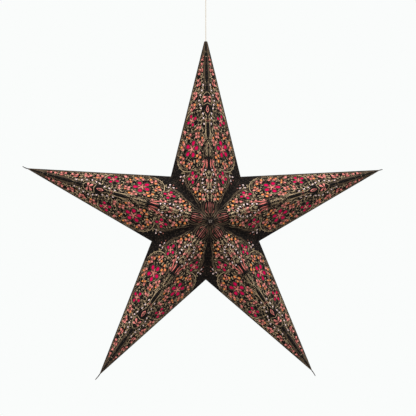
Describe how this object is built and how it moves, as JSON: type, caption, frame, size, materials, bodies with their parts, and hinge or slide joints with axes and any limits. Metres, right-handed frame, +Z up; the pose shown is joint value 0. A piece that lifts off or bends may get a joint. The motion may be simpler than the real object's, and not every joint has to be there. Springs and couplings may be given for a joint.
{
  "type": "paper star lantern",
  "caption": "Hanging star lantern of folded black paper with long ridged points, cut petal windows and a coloured lining, on a cord with a loop.",
  "frame": {"origin": "inside top of the cord's loop, where it rests on a hook", "axes": "+Z up along the hanging cord, +X to the right across the star's width, +Y away from the viewer through the star's depth, so the front faces -Y"},
  "size_m": [0.6124, 0.1754, 0.6769],
  "materials": {
    "printed_paper": "matt black printed card with gold, pink and orange ornament",
    "lining_paper": "thin matt tissue paper in fields of magenta and salmon",
    "cotton_cord": "twisted natural cotton"
  },
  "bodies": {
    "root": {"point_top": "printed_paper", "point_upper_right": "printed_paper", "point_lower_right": "printed_paper", "point_lower_left": "printed_paper", "point_upper_left": "printed_paper", "lining_top": "lining_paper", "lining_upper_right": "lining_paper", "lining_lower_right": "lining_paper", "lining_lower_left": "lining_paper", "lining_upper_left": "lining_paper", "hanging_cord": "cotton_cord", "loop_knot": "cotton_cord", "stopper_knot": "cotton_cord"}
  },
  "joints": []
}
